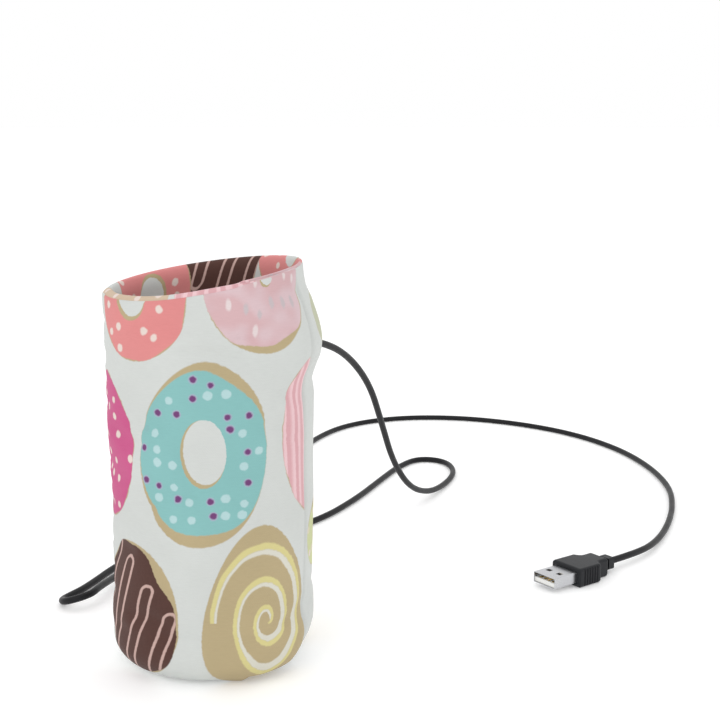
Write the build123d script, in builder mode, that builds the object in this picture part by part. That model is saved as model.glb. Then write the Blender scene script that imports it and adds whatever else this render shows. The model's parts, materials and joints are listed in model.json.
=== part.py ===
"""USB bottle warmer: a padded fabric sleeve with a film heater, a hook-and-loop flap and a USB lead.

The sleeve stands on z = 0 round the Z axis. Its front faces -Y. Azimuths are in degrees from the
front, -Y, towards +X. All lengths are in millimetres.
"""

import os
from math import acos, cos, degrees, pi, radians, sin, tan

from build123d import *

# Sleeve
pocket_radius = 30.5  # inside of the lining, round the bottle
lining_thickness = 0.6
cover_thickness = 0.8
outer_radius = 35.5
foot_radius = 24.0  # flat part of the bottom, and the centre of the rounded corner
rim_height = 136.0  # on the axis
rim_tilt = 6.4  # degrees; the rim is higher on the +X side
raw_height = 160.0  # walls are made this tall, then cut at the rim
hem_depth = 12.0
corner_height = outer_radius - foot_radius

# Flap and the thinner wall that it closes over
hinge_azimuth = 24.0
flap_start = 26.0  # the flap's root edge, far enough from the hinge to clear the front when open
flap_edge_azimuth = 66.0
joggle_azimuth = 69.0
joggle_sweep = 2.0
joggle_end = joggle_azimuth + joggle_sweep
flap_foot = 2.6  # the flap is free above this height, where the foot turns in
foot_gap = 0.4  # under the flap
underlap_radius = 33.4  # outside of the cover under the flap
tape_thickness = 0.8
tape_gap = 0.3
flap_layer_lining = 0.5
flap_layer_wadding = 0.8
flap_layer_cover = 0.7

# Heater
film_thickness = 0.2
trace_thickness = 0.15
foil_thickness = 0.15
heater_foot = 24.0
heater_top = 116.0
heater_start = 84.0  # azimuths
heater_sweep = 288.0
trace_width = 3.0
trace_count = 18

# Lead
exit_azimuth = 150.0
exit_height = 104.0
cable_diameter = 2.8
exit_reach = 37.2  # from the axis to where the free lead starts
floor_height = 1.5  # of the lead's centre where it lies on the floor

# Plug
plug_start = (156.0, 82.0, 4.0)  # where the lead enters it
plug_heading = (-0.8, -0.6, 0.0)
plug_height = 8.0
plug_width = 16.0
shell_width = 12.0
shell_height = 4.5
shell_wall = 0.3
shell_length = 12.0

lining_outer = pocket_radius + lining_thickness
film_outer = lining_outer + film_thickness
trace_outer = film_outer + trace_thickness
foil_outer = trace_outer + foil_thickness
cover_inner = outer_radius - cover_thickness
underlap_inner = underlap_radius - cover_thickness
loop_outer = underlap_radius + tape_thickness
hook_inner = loop_outer + tape_gap
flap_inner = hook_inner + tape_thickness
flap_lined = flap_inner + flap_layer_lining
flap_filled = flap_lined + flap_layer_wadding
flap_outer = flap_filled + flap_layer_cover

tilt = radians(rim_tilt)
rim_plane = Plane(
    origin=(0, 0, rim_height), x_dir=(cos(tilt), 0, sin(tilt)), z_dir=(-sin(tilt), 0, cos(tilt))
)
hem_plane = rim_plane.offset(-cover_thickness)
facing_plane = rim_plane.offset(-hem_depth)


def spot(azimuth, radius, height):
    """A point at an azimuth, at a distance from the axis and at a height."""
    return Vector(radius * sin(radians(azimuth)), -radius * cos(radians(azimuth)), height)


def outward(azimuth, radius, height):
    """A plane at a point of the wall that faces out, with its Y up."""
    out = spot(azimuth, 1, 0)
    return Plane(origin=spot(azimuth, radius, height), x_dir=spot(azimuth + 90, 1, 0), z_dir=out)


def turned(face, azimuth):
    """A section drawn on the XZ plane, turned about Z to an azimuth."""
    return face.rotate(Axis.Z, azimuth - 90)


def straight_section(inner, outer, low, high):
    """The section of a plain wall: a rectangle on the XZ plane."""
    with BuildSketch(Plane.XZ) as section:
        with Locations(((inner + outer) / 2, (low + high) / 2)):
            Rectangle(outer - inner, high - low)
    return section.sketch


def cup_section(inner, outer, low, high):
    """The section of a wall whose bottom corner turns in to the foot, between two heights."""
    with BuildSketch(Plane.XZ) as section:
        with BuildLine():
            outer_turn = CenterArc((foot_radius, corner_height), outer - foot_radius, -90, 90)
            outer_side = Line(outer_turn @ 1, (outer, raw_height))
            top = Line(outer_side @ 1, (inner, raw_height))
            inner_side = Line(top @ 1, (inner, corner_height))
            inner_turn = CenterArc((foot_radius, corner_height), inner - foot_radius, 0, -90)
            Line(inner_turn @ 1, outer_turn @ 0)
        make_face()
        with Locations((outer, (low + high) / 2)):
            Rectangle(4 * outer, high - low, mode=Mode.INTERSECT)
    return section.sketch


def swept(section, start, end):
    """Adds a section, turned about Z from one azimuth to another, to the part being built."""
    revolve(turned(section, start), axis=Axis.Z, revolution_arc=end - start)


def finish(builder, label):
    """Names a finished piece and writes it."""
    builder.part.label = label
    os.makedirs("parts", exist_ok=True)
    export_step(builder.part, f"parts/{label}.step")


# Covers -----------------------------------------------------------------------------------------

back_end = 270.0  # the side seam, on the left
front_start = -90.0
seam_gap = 0.2  # degrees
tuck_start = hinge_azimuth + 1  # the edge of the layer under the flap
exit_hole = 2.3  # radius

with BuildPart() as front_panel:
    swept(cup_section(cover_inner, outer_radius, 0, raw_height), front_start, hinge_azimuth)
    swept(cup_section(cover_inner, outer_radius, 0, flap_foot - foot_gap), hinge_azimuth, joggle_azimuth)
    split(bisect_by=hem_plane, keep=Keep.BOTTOM)
finish(front_panel, "front_panel")

with BuildPart() as back_panel:
    wall = cup_section(cover_inner, outer_radius, 0, raw_height)
    swept(wall, joggle_azimuth + seam_gap, back_end - seam_gap)
    tucked = cup_section(underlap_inner, underlap_radius, flap_foot, raw_height)
    step = cup_section(underlap_inner, outer_radius, flap_foot, raw_height)
    swept(tucked, tuck_start, joggle_end)
    swept(step, joggle_azimuth + seam_gap, joggle_end)
    split(bisect_by=hem_plane, keep=Keep.BOTTOM)
    with Locations(outward(exit_azimuth, outer_radius, exit_height)):
        Cylinder(exit_hole, 6, mode=Mode.SUBTRACT)
finish(back_panel, "back_panel")

with BuildPart() as base_panel:
    with BuildSketch():
        Circle(foot_radius)
    extrude(amount=cover_thickness)
finish(base_panel, "base_panel")

# Hem: the strip that is turned over the rim and down the inside
raw_foot = 100.0  # hems are made from this height, then cut at the rim's planes

with BuildPart() as rim_hem:
    swept(straight_section(pocket_radius, lining_outer, raw_foot, raw_height), 0, 360)
    full_cap = straight_section(pocket_radius, outer_radius, raw_foot, raw_height)
    swept(full_cap, joggle_end, 360 + hinge_azimuth)
    swept(straight_section(pocket_radius, underlap_radius, raw_foot, raw_height), hinge_azimuth, joggle_end)
    with BuildPart(mode=Mode.PRIVATE) as below_cap:
        swept(straight_section(lining_outer, outer_radius + 1, raw_foot - 10, raw_height), 0, 360)
        split(bisect_by=hem_plane, keep=Keep.BOTTOM)
    add(below_cap.part, mode=Mode.SUBTRACT)
    split(bisect_by=facing_plane, keep=Keep.TOP)
    split(bisect_by=rim_plane, keep=Keep.BOTTOM)
finish(rim_hem, "rim_hem")

# Wadding and lining -----------------------------------------------------------------------------

pocket_low = 58.0  # heights and azimuths of the window in the wadding for the wiring
pocket_high = 112.0
pocket_start = 138.0
pocket_end = 186.0

with BuildPart() as wadding_wall:
    full = cup_section(foil_outer, cover_inner, 0, raw_height)
    foot = cup_section(foil_outer, cover_inner, 0, flap_foot - foot_gap)
    thin = cup_section(lining_outer, underlap_inner, flap_foot, raw_height)
    window = straight_section(foil_outer, cover_inner, pocket_low, pocket_high)
    swept(full, joggle_end, 360 + hinge_azimuth)
    swept(foot, hinge_azimuth, joggle_end)
    swept(thin, hinge_azimuth, joggle_end)
    split(bisect_by=hem_plane, keep=Keep.BOTTOM)
    revolve(
        turned(window, pocket_start),
        axis=Axis.Z,
        revolution_arc=pocket_end - pocket_start,
        mode=Mode.SUBTRACT,
    )
finish(wadding_wall, "wadding_wall")

with BuildPart() as wadding_base:
    with BuildSketch(Plane.XY.offset(cover_thickness)):
        Circle(foot_radius)
    extrude(amount=outer_radius - foil_outer - cover_thickness)
finish(wadding_base, "wadding_base")

with BuildPart() as lining_wall:
    swept(cup_section(pocket_radius, lining_outer, 0, raw_height), 0, 360)
    split(bisect_by=facing_plane, keep=Keep.BOTTOM)
finish(lining_wall, "lining_wall")

with BuildPart() as lining_base:
    with BuildSketch(Plane.XY.offset(outer_radius - lining_outer)):
        Circle(foot_radius)
    extrude(amount=lining_thickness)
finish(lining_base, "lining_base")

# Heater -----------------------------------------------------------------------------------------

with BuildPart() as heater_film:
    swept(
        straight_section(lining_outer, film_outer, heater_foot, heater_top),
        heater_start,
        heater_start + heater_sweep,
    )
finish(heater_film, "heater_film")

trace_margin = 6.0  # degrees of bare film at each end
trace_pitch = (heater_sweep - 2 * trace_margin) / (trace_count - 1)
trace_first = heater_start + trace_margin
trace_span = degrees(trace_width / film_outer)
trace_foot = heater_foot + 5
trace_top = heater_top - 5

with BuildPart() as heater_trace:
    upright = straight_section(film_outer, trace_outer, trace_foot, trace_top)
    low_link = straight_section(film_outer, trace_outer, trace_foot, trace_foot + trace_width)
    high_link = straight_section(film_outer, trace_outer, trace_top - trace_width, trace_top)
    for index in range(trace_count):
        azimuth = trace_first + index * trace_pitch
        swept(upright, azimuth, azimuth + trace_span)
        if index < trace_count - 1:
            swept(high_link if index % 2 else low_link, azimuth, azimuth + trace_pitch + trace_span)
finish(heater_trace, "heater_trace")

with BuildPart() as reflective_foil:
    swept(
        straight_section(trace_outer, foil_outer, heater_foot - 2, heater_top + 2),
        heater_start - 3,
        heater_start + heater_sweep + 3,
    )
finish(reflective_foil, "reflective_foil")

# Wiring in the wadding's window -----------------------------------------------------------------

mid_wadding = (foil_outer + cover_inner) / 2
jacket_end = exit_height - 20
wire_radius = 0.55
wire_level = 74.0  # heights where the wires turn
branch_level = 70.0
jumper_level = 103.0
eyelet_radius = 4.0
thermostat_azimuth = 166.0
thermostat_height = 90.0
thermostat_length = 15.0
joint_azimuth = exit_azimuth - 6  # where the black lead meets the heater
joint_level = 60.4
link_azimuth = thermostat_azimuth + 13  # where the thermostat's lead meets it
link_level = 67.8
joint_length = 4.4

with BuildPart() as inner_cable:
    with Locations(outward(exit_azimuth, (mid_wadding + exit_reach) / 2, exit_height)):
        Cylinder(cable_diameter / 2, exit_reach - mid_wadding)
    with Locations(spot(exit_azimuth, mid_wadding, exit_height)):
        Sphere(cable_diameter / 2)
    with Locations(spot(exit_azimuth, mid_wadding, (exit_height + jacket_end) / 2)):
        Cylinder(cable_diameter / 2, exit_height - jacket_end)
finish(inner_cable, "inner_cable")

with BuildPart() as exit_eyelet:
    with BuildSketch(outward(exit_azimuth, outer_radius + 0.1, exit_height)):
        Circle(eyelet_radius)
    extrude(amount=0.9)
    fillet(exit_eyelet.edges().filter_by(GeomType.CIRCLE).sort_by_distance((400, 700, 0))[0], 0.35)
    with BuildSketch(outward(exit_azimuth, cover_inner - 0.05, exit_height)):
        Circle(exit_hole - 0.1)
    extrude(amount=1.6)
    with Locations(outward(exit_azimuth, outer_radius, exit_height)):
        Cylinder(cable_diameter / 2 + 0.02, 10, mode=Mode.SUBTRACT)
finish(exit_eyelet, "exit_eyelet")

with BuildPart() as cable_tie:
    with BuildSketch(Plane(origin=spot(exit_azimuth, mid_wadding, jacket_end + 6))):
        with Locations(Rotation(0, 0, exit_azimuth)):
            RectangleRounded(4.6, 3.05, 1.2)
            Circle(cable_diameter / 2 + 0.02, mode=Mode.SUBTRACT)
    extrude(amount=2.4)
finish(cable_tie, "cable_tie")

with BuildPart() as thermostat:
    with BuildSketch(outward(thermostat_azimuth, foil_outer + 0.1, thermostat_height)):
        RectangleRounded(6.4, thermostat_length, 0.8)
    extrude(amount=2.5)
finish(thermostat, "thermostat")


def wire(points, radii):
    """A round wire along straight runs and arcs."""
    with BuildPart() as strand:
        with BuildLine() as route:
            FilletPolyline(*points, radius=radii)
        with BuildSketch(Plane(origin=route.line @ 0, z_dir=route.line % 0)):
            Circle(wire_radius)
        sweep()
    return strand


pair = 1.4  # degrees to each side of the jacket's middle
red_lead = wire(
    [
        spot(exit_azimuth + pair, mid_wadding, jacket_end),
        spot(exit_azimuth + pair, mid_wadding, wire_level),
        spot(thermostat_azimuth, mid_wadding, wire_level),
        spot(thermostat_azimuth, mid_wadding, thermostat_height - thermostat_length / 2),
    ],
    2.5,
)
finish(red_lead, "red_lead")

black_lead = wire(
    [
        spot(exit_azimuth - pair, mid_wadding, jacket_end),
        spot(exit_azimuth - pair, mid_wadding, branch_level),
        spot(joint_azimuth, mid_wadding, 66),
        spot(joint_azimuth, mid_wadding, joint_level + joint_length / 2),
    ],
    1.2,
)
finish(black_lead, "black_lead")

thermostat_lead = wire(
    [
        spot(thermostat_azimuth, mid_wadding, thermostat_height + thermostat_length / 2),
        spot(thermostat_azimuth, mid_wadding, jumper_level),
        spot(link_azimuth, mid_wadding, jumper_level),
        spot(link_azimuth, mid_wadding, branch_level),
    ],
    2.2,
)
finish(thermostat_lead, "thermostat_lead")

with BuildPart() as joint_sleeves:
    with Locations(
        Location(spot(joint_azimuth, mid_wadding, joint_level)),
        Location(spot(link_azimuth, mid_wadding, link_level)),
    ):
        Cylinder(2 * wire_radius, joint_length)
finish(joint_sleeves, "joint_sleeves")

# Hook-and-loop closure --------------------------------------------------------------------------

tape_start = 33.0
tape_end = 63.0
tape_low = 22.0
tape_high = 128.0

with BuildPart() as loop_tape:
    swept(straight_section(underlap_radius, loop_outer, tape_low, tape_high), tape_start, tape_end)
finish(loop_tape, "loop_tape")

with BuildPart() as hook_tape:
    swept(straight_section(hook_inner, flap_inner, tape_low, tape_high), tape_start, tape_end)
finish(hook_tape, "hook_tape")

lined_edge = flap_edge_azimuth - 0.6  # the cover wraps the lining's and wadding's free edges

with BuildPart() as flap_lining:
    swept(cup_section(flap_inner, flap_lined, flap_foot + 1, raw_height), flap_start, lined_edge)
    split(bisect_by=hem_plane, keep=Keep.BOTTOM)
finish(flap_lining, "flap_lining")

with BuildPart() as flap_wadding:
    swept(cup_section(flap_lined, flap_filled, flap_foot + 1, raw_height), flap_start, lined_edge)
    split(bisect_by=hem_plane, keep=Keep.BOTTOM)
finish(flap_wadding, "flap_wadding")

with BuildPart() as flap_cover:
    swept(cup_section(flap_filled, flap_outer, flap_foot, raw_height), flap_start, flap_edge_azimuth)
    free_edge = cup_section(flap_inner, flap_filled, flap_foot, raw_height)
    swept(free_edge, lined_edge, flap_edge_azimuth)
    swept(cup_section(flap_inner, flap_filled, flap_foot, flap_foot + 1), flap_start, flap_edge_azimuth)
    split(bisect_by=hem_plane, keep=Keep.BOTTOM)
finish(flap_cover, "flap_cover")

with BuildPart() as flap_hem:
    swept(straight_section(flap_inner, flap_outer, raw_foot, raw_height), flap_start, flap_edge_azimuth)
    split(bisect_by=hem_plane, keep=Keep.TOP)
    split(bisect_by=rim_plane, keep=Keep.BOTTOM)
finish(flap_hem, "flap_hem")

# Free lead --------------------------------------------------------------------------------------

lead_start = spot(exit_azimuth, exit_reach, exit_height)
lead_route = [
    tuple(lead_start),
    (26.0, 45.0, 104.0),
    (36.0, 63.0, 101.0),
    (46.5, 84.0, 92.0),
    (56.0, 106.0, 75.0),
    (61.5, 126.0, 53.0),
    (67.0, 145.0, 30.0),
    (75.5, 163.0, 12.0),
    (86.0, 184.0, 3.2),
    (96.0, 206.0, floor_height),
    (102.0, 229.0, floor_height),
    (98.0, 249.0, floor_height),
    (83.0, 254.0, floor_height),
    (72.0, 237.0, floor_height),
    (62.0, 211.0, floor_height),
    (50.0, 179.0, floor_height),
    (34.0, 147.0, floor_height),
    (10.0, 122.0, floor_height),
    (-14.0, 103.0, floor_height),
    (-33.0, 87.3, floor_height),
    (-45.2, 73.2, 2.7),
    (-48.7, 54.6, 5.1),
    (-50.4, 45.8, 6.0),
    (-51.6, 39.9, 6.0),
    (-56.8, 36.9, 4.9),
    (-62.5, 38.9, 2.9),
    (-64.7, 44.4, floor_height),
    (-62.0, 49.8, floor_height),
    (-57.7, 58.2, floor_height),
    (-49.6, 85.0, floor_height),
    (-34.0, 120.0, floor_height),
    (-15.0, 158.0, floor_height),
    (1.0, 201.0, floor_height),
    (13.0, 247.0, floor_height),
    (24.0, 293.0, floor_height),
    (43.0, 330.0, floor_height),
    (75.0, 349.0, floor_height),
    (112.0, 349.0, floor_height),
    (147.0, 334.0, floor_height),
    (176.0, 309.0, floor_height),
    (196.0, 275.0, floor_height),
    (206.0, 237.0, floor_height),
    (208.0, 199.0, floor_height),
    (202.0, 166.0, floor_height),
    (193.0, 137.0, floor_height),
    (182.0, 111.0, 2.4),
    (169.6, 92.2, 4.0),
    plug_start,
]


def corner_radii(points):
    """The arc at each corner of a route, from its two runs and its turn, and the turns in degrees."""
    radii, turns = [], []
    for before, corner, after in zip(points, points[1:], points[2:]):
        run_in = Vector(*corner) - Vector(*before)
        run_out = Vector(*after) - Vector(*corner)
        turn = acos(max(-1, min(1, run_in.normalized().dot(run_out.normalized()))))
        radii.append(0.45 * min(run_in.length, run_out.length) / tan(turn / 2))
        turns.append(degrees(turn))
    return radii, turns


lead_radii, lead_turns = corner_radii(lead_route)

with BuildPart() as power_lead:
    with BuildLine() as lead_line:
        FilletPolyline(*lead_route, radius=lead_radii)
    with BuildSketch(Plane(origin=lead_line.line @ 0, z_dir=lead_line.line % 0)):
        Circle(cable_diameter / 2)
    sweep()
finish(power_lead, "power_lead")

lead_length = lead_line.wires()[0].length
volume_share = power_lead.part.volume / (pi * (cable_diameter / 2) ** 2 * lead_length)
print("lead length", round(lead_length, 1), "volume share", round(volume_share, 4))
print("lead radii", [round(r, 1) for r in lead_radii])
print("lead turns", [round(t) for t in lead_turns])

# USB-A plug -------------------------------------------------------------------------------------

heading = Vector(*plug_heading)
across = Vector(-heading.Y, heading.X, 0)
plug_plan = Plane(origin=plug_start, x_dir=across, z_dir=(0, 0, 1))  # its -Y runs along the plug


def along_plug(distance):
    """A plane across the plug, at a distance from where the lead enters it, that faces forwards."""
    return Plane(origin=Vector(*plug_start) + heading * distance, x_dir=across, z_dir=heading)


collar_width = 6.0
collar_height = 5.0
neck_width = 3.4
collar_length = 3.1
neck_length = 1.2
shoulder_length = 1.4
body_start = collar_length + neck_length + shoulder_length
body_length = 19.8
waist_width = 10.2
body_end = body_start + body_length

with BuildPart() as strain_relief:
    with BuildSketch(along_plug(0)):
        RectangleRounded(collar_width, collar_height, 1.0)
    extrude(amount=collar_length)
    with BuildSketch(along_plug(collar_length)):
        RectangleRounded(neck_width, neck_width, 1.0)
    extrude(amount=neck_length)
    with BuildSketch(along_plug(collar_length + neck_length)):
        RectangleRounded(collar_width, collar_height, 1.0)
    extrude(amount=shoulder_length)
finish(strain_relief, "strain_relief")

grip_count = 6
grip_pitch = 1.45
grip_radius = 0.45

with BuildPart() as plug_body:
    with BuildSketch(plug_plan.offset(-plug_height / 2)):
        with BuildLine():
            half_waist = waist_width / 2
            half_width = plug_width / 2
            flare_start = -(body_start + 4.6)
            flare_end = -(body_start + 7.6)
            Polyline((0, -body_start), (half_waist, -body_start), (half_waist, flare_start))
            Spline(
                (half_waist, flare_start),
                (half_width, flare_end),
                tangents=[(0, -1), (0.75, -0.65)],
            )
            Polyline((half_width, flare_end), (half_width, -body_end), (0, -body_end))
            mirror(about=Plane.YZ)
        make_face()
    extrude(amount=plug_height)
    fillet(plug_body.edges().filter_by(Axis.Z), 0.9)
    fillet(plug_body.faces().sort_by(Axis.Z)[-1].edges(), 1.3)
    fillet(plug_body.faces().sort_by(Axis.Z)[0].edges(), 1.3)
    with Locations(plug_plan):
        for side in (-1, 1):
            for index in range(grip_count):
                with Locations((side * plug_width / 2, -(body_start + 9.6 + index * grip_pitch), 0)):
                    Cylinder(grip_radius, plug_height, mode=Mode.SUBTRACT)
finish(plug_body, "plug_body")

with BuildPart() as usb_shell:
    with BuildSketch(along_plug(body_end)):
        RectangleRounded(shell_width, shell_height, 0.5)
        offset(amount=-shell_wall, mode=Mode.SUBTRACT)
    extrude(amount=shell_length)
    with Locations(plug_plan):
        with Locations((-2.9, -(body_end + 6.4), 0), (2.9, -(body_end + 6.4), 0)):
            Box(2.3, 2.2, 2 * shell_height, mode=Mode.SUBTRACT)
finish(usb_shell, "usb_shell")

tongue_height = 1.8
tongue_width = shell_width - 2 * shell_wall - 0.1
tongue_drop = 0.95  # the tongue lies below the shell's middle

with BuildPart() as usb_tongue:
    with BuildSketch(along_plug(body_end)):
        with Locations((0, -tongue_drop)):
            Rectangle(tongue_width, tongue_height)
    extrude(amount=shell_length - 0.4)
finish(usb_tongue, "usb_tongue")

contact_pitches = [-3.5, -1.0, 1.0, 3.5]
contact_lengths = [8.4, 7.4, 7.4, 8.4]
contact_height = tongue_height / 2 - tongue_drop + 0.1

with BuildPart() as usb_contacts:
    with Locations(plug_plan):
        for place, length in zip(contact_pitches, contact_lengths):
            with Locations((place, -(body_end + shell_length - 1.2 - length / 2), contact_height)):
                Box(1.0, length, 0.2)
finish(usb_contacts, "usb_contacts")
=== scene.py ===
"""Looks for the USB bottle warmer, built round its CAD frame.

Shapes are worked out in millimetres and written to meshes in metres. An azimuth, az, is in degrees
from the front, -Y, towards +X. The print is placed by a UV map in metres: u runs round the sleeve
from the front and v up it. Most columns are radii, heights and print heights at one azimuth.
"""

import json
from functools import partial, partialmethod
from math import cos, pi, radians, sin

import bmesh
import bpy
import numpy as np
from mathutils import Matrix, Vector, noise


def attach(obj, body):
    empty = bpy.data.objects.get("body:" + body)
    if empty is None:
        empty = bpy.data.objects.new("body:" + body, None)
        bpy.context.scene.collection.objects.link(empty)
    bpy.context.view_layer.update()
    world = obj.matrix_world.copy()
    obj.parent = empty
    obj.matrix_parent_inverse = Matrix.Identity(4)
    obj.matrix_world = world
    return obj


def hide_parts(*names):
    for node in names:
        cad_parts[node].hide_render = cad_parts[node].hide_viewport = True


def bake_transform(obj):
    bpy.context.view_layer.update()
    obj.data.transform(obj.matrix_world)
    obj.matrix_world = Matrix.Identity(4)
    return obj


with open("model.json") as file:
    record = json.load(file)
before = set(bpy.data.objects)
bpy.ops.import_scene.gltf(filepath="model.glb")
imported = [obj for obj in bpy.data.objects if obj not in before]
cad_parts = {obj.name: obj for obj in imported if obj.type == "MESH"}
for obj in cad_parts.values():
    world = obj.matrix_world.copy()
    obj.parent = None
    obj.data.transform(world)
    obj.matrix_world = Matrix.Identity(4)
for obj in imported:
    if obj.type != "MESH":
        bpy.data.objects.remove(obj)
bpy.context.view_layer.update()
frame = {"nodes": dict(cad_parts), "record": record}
scene = bpy.context.scene
MM = 0.001

# ---- Camera, lights and floor ----


def new_object(name, data):
    obj = bpy.data.objects.new(name, data)
    scene.collection.objects.link(obj)
    return obj


camera_data = bpy.data.cameras.new("camera")
camera_data.lens = 67.0
camera_data.clip_start = 0.01
camera = new_object("camera", camera_data)
camera.location = (0.052, -0.455, 0.195)
camera.rotation_euler = (radians(90 - 11.2), 0, 0)
scene.camera = camera
scene.view_settings.view_transform = "Standard"


def area_light(name, place, target, size, power):
    data = bpy.data.lights.new(name, "AREA")
    data.size, data.energy = size, power
    light = new_object(name, data)
    light.location = place
    light.rotation_euler = (Vector(target) - Vector(place)).to_track_quat("-Z", "Y").to_euler()


LIT = (0.03, 0.05, 0.07)
area_light("key", (-0.55, -0.75, 0.85), LIT, 0.7, 1.9)
area_light("fill", (0.9, -0.6, 0.5), LIT, 0.8, 0.5)
area_light("top", (0.1, 0.3, 1.1), LIT, 0.9, 0.8)

world = bpy.data.worlds.new("studio")
world.use_nodes = True
sky = world.node_tree.nodes["Background"].inputs
sky["Color"].default_value, sky["Strength"].default_value = (1, 1, 1, 1), 1.0
scene.world = world


# ---- Shader sums ----


def linear(red, green, blue):
    """A colour given as 0 to 255, as a shader takes it."""
    return tuple(
        c / 12.92 if c <= 0.04045 else ((c + 0.055) / 1.055) ** 2.4
        for c in (red / 255, green / 255, blue / 255)
    )


class Sum:
    """A number in a node tree, which Python's own signs can work with."""

    def __init__(self, tree, socket):
        self.tree, self.socket = tree, socket

    def calc(self, operation, *others, clamp=False):
        node = self.tree.nodes.new("ShaderNodeMath")
        node.operation, node.use_clamp = operation, clamp
        for entry, value in zip(node.inputs, (self, *others)):
            feed(self.tree, entry, value)
        return Sum(self.tree, node.outputs[0])

    __add__ = partialmethod(calc, "ADD")
    __sub__ = partialmethod(calc, "SUBTRACT")
    __mul__ = partialmethod(calc, "MULTIPLY")
    __truediv__ = partialmethod(calc, "DIVIDE")
    wave = partialmethod(calc, "SINE")
    size = partialmethod(calc, "ABSOLUTE")

    def lobe(self, sharpness):
        """1 where an angle is 0, falling away on both sides."""
        return self.calc("COSINE").calc("MAXIMUM", 0.0).calc("POWER", sharpness)

    def above(self, edge, softness):
        """1 where the number is over edge, 0 where it is under, with a soft step between."""
        return ((self - edge) / softness + 0.5).calc("ADD", 0.0, clamp=True)

    def below(self, edge, softness):
        return ((self - edge) / -softness + 0.5).calc("ADD", 0.0, clamp=True)


def feed(tree, entry, value):
    if isinstance(value, Sum):
        tree.links.new(value.socket, entry)
    elif isinstance(value, bpy.types.NodeSocket):
        tree.links.new(value, entry)
    elif isinstance(value, tuple) and len(value) == 3 and entry.type == "RGBA":
        entry.default_value = (*value, 1)
    else:
        entry.default_value = value


def add_node(tree, kind, settings=None, **entries):
    """A node with its own settings, and its inputs by name, with _ for a space."""
    node = tree.nodes.new("ShaderNode" + kind)
    for key, value in (settings or {}).items():
        setattr(node, key, value)
    for key, value in entries.items():
        feed(tree, node.inputs[key.replace("_", " ")], value)
    return node


def mix(tree, share, first, second):
    """Colours mixed by a share, which is 0 for the first and 1 for the second."""
    node = tree.nodes.new("ShaderNodeMix")
    node.data_type = "RGBA"
    for entry, value in zip((0, 6, 7), (share, first, second)):
        feed(tree, node.inputs[entry], value)
    return node.outputs[2]


def point(tree, x, y):
    return add_node(tree, "CombineXYZ", X=x, Y=y).outputs[0]


def cloud(tree, vector, scale, detail=2.0, dimensions="3D"):
    settings = {"noise_dimensions": dimensions}
    node = add_node(tree, "TexNoise", settings, Vector=vector, Scale=scale, Detail=detail)
    return Sum(tree, node.outputs["Fac"])


def object_place(tree):
    return add_node(tree, "TexCoord").outputs["Object"]


def split(tree, vector):
    """A vector's first two numbers."""
    parts = add_node(tree, "SeparateXYZ", Vector=vector).outputs
    return Sum(tree, parts[0]), Sum(tree, parts[1])


def print_place(tree):
    """u and v on the cloth, in millimetres."""
    u, v = split(tree, add_node(tree, "UVMap", {"uv_map": "print"}).outputs[0])
    return u / MM, v / MM


def bump(tree, shader, height, distance, strength):
    node = add_node(tree, "Bump", Height=height, Distance=distance, Strength=strength)
    tree.links.new(node.outputs[0], shader.inputs["Normal"])


def tone(tree, shader, colour, value):
    """The shader's colour, lighter or darker by a value that varies over the surface."""
    node = add_node(tree, "HueSaturation", Color=colour, Value=value)
    tree.links.new(node.outputs[0], shader.inputs["Base Color"])


MATERIALS = {}


def new_material(name, **values):
    """A material's node tree and its Principled shader, with plain values on the shader's sockets."""
    material = MATERIALS[name] = bpy.data.materials.new(name)
    material.use_nodes = True
    shader = material.node_tree.nodes["Principled BSDF"]
    for key, value in values.items():
        feed(material.node_tree, shader.inputs[key.replace("_", " ")], value)
    return material.node_tree, shader


# ---- The print ----

CANVAS = linear(199, 202, 199)
DOUGH = linear(176, 160, 125)
CORAL = linear(211, 134, 133)
BLUSH = linear(207, 182, 186)
MAGENTA = linear(192, 86, 132)
TURQUOISE = linear(130, 180, 178)
ROSE = linear(209, 162, 167)
LIME = linear(196, 201, 153)
SAGE = linear(184, 187, 162)
CHOCOLATE = linear(82, 56, 50)
CREAM = linear(218, 203, 195)
PALE_BLUE = linear(172, 202, 203)
PURPLE = linear(111, 66, 113)
HALO = linear(162, 166, 187)
DRIZZLE = linear(190, 160, 152)
YELLOW = linear(205, 196, 138)
MILK = linear(207, 205, 193)

SOFT = 0.35  # millimetres over which one ink turns into the next


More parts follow.
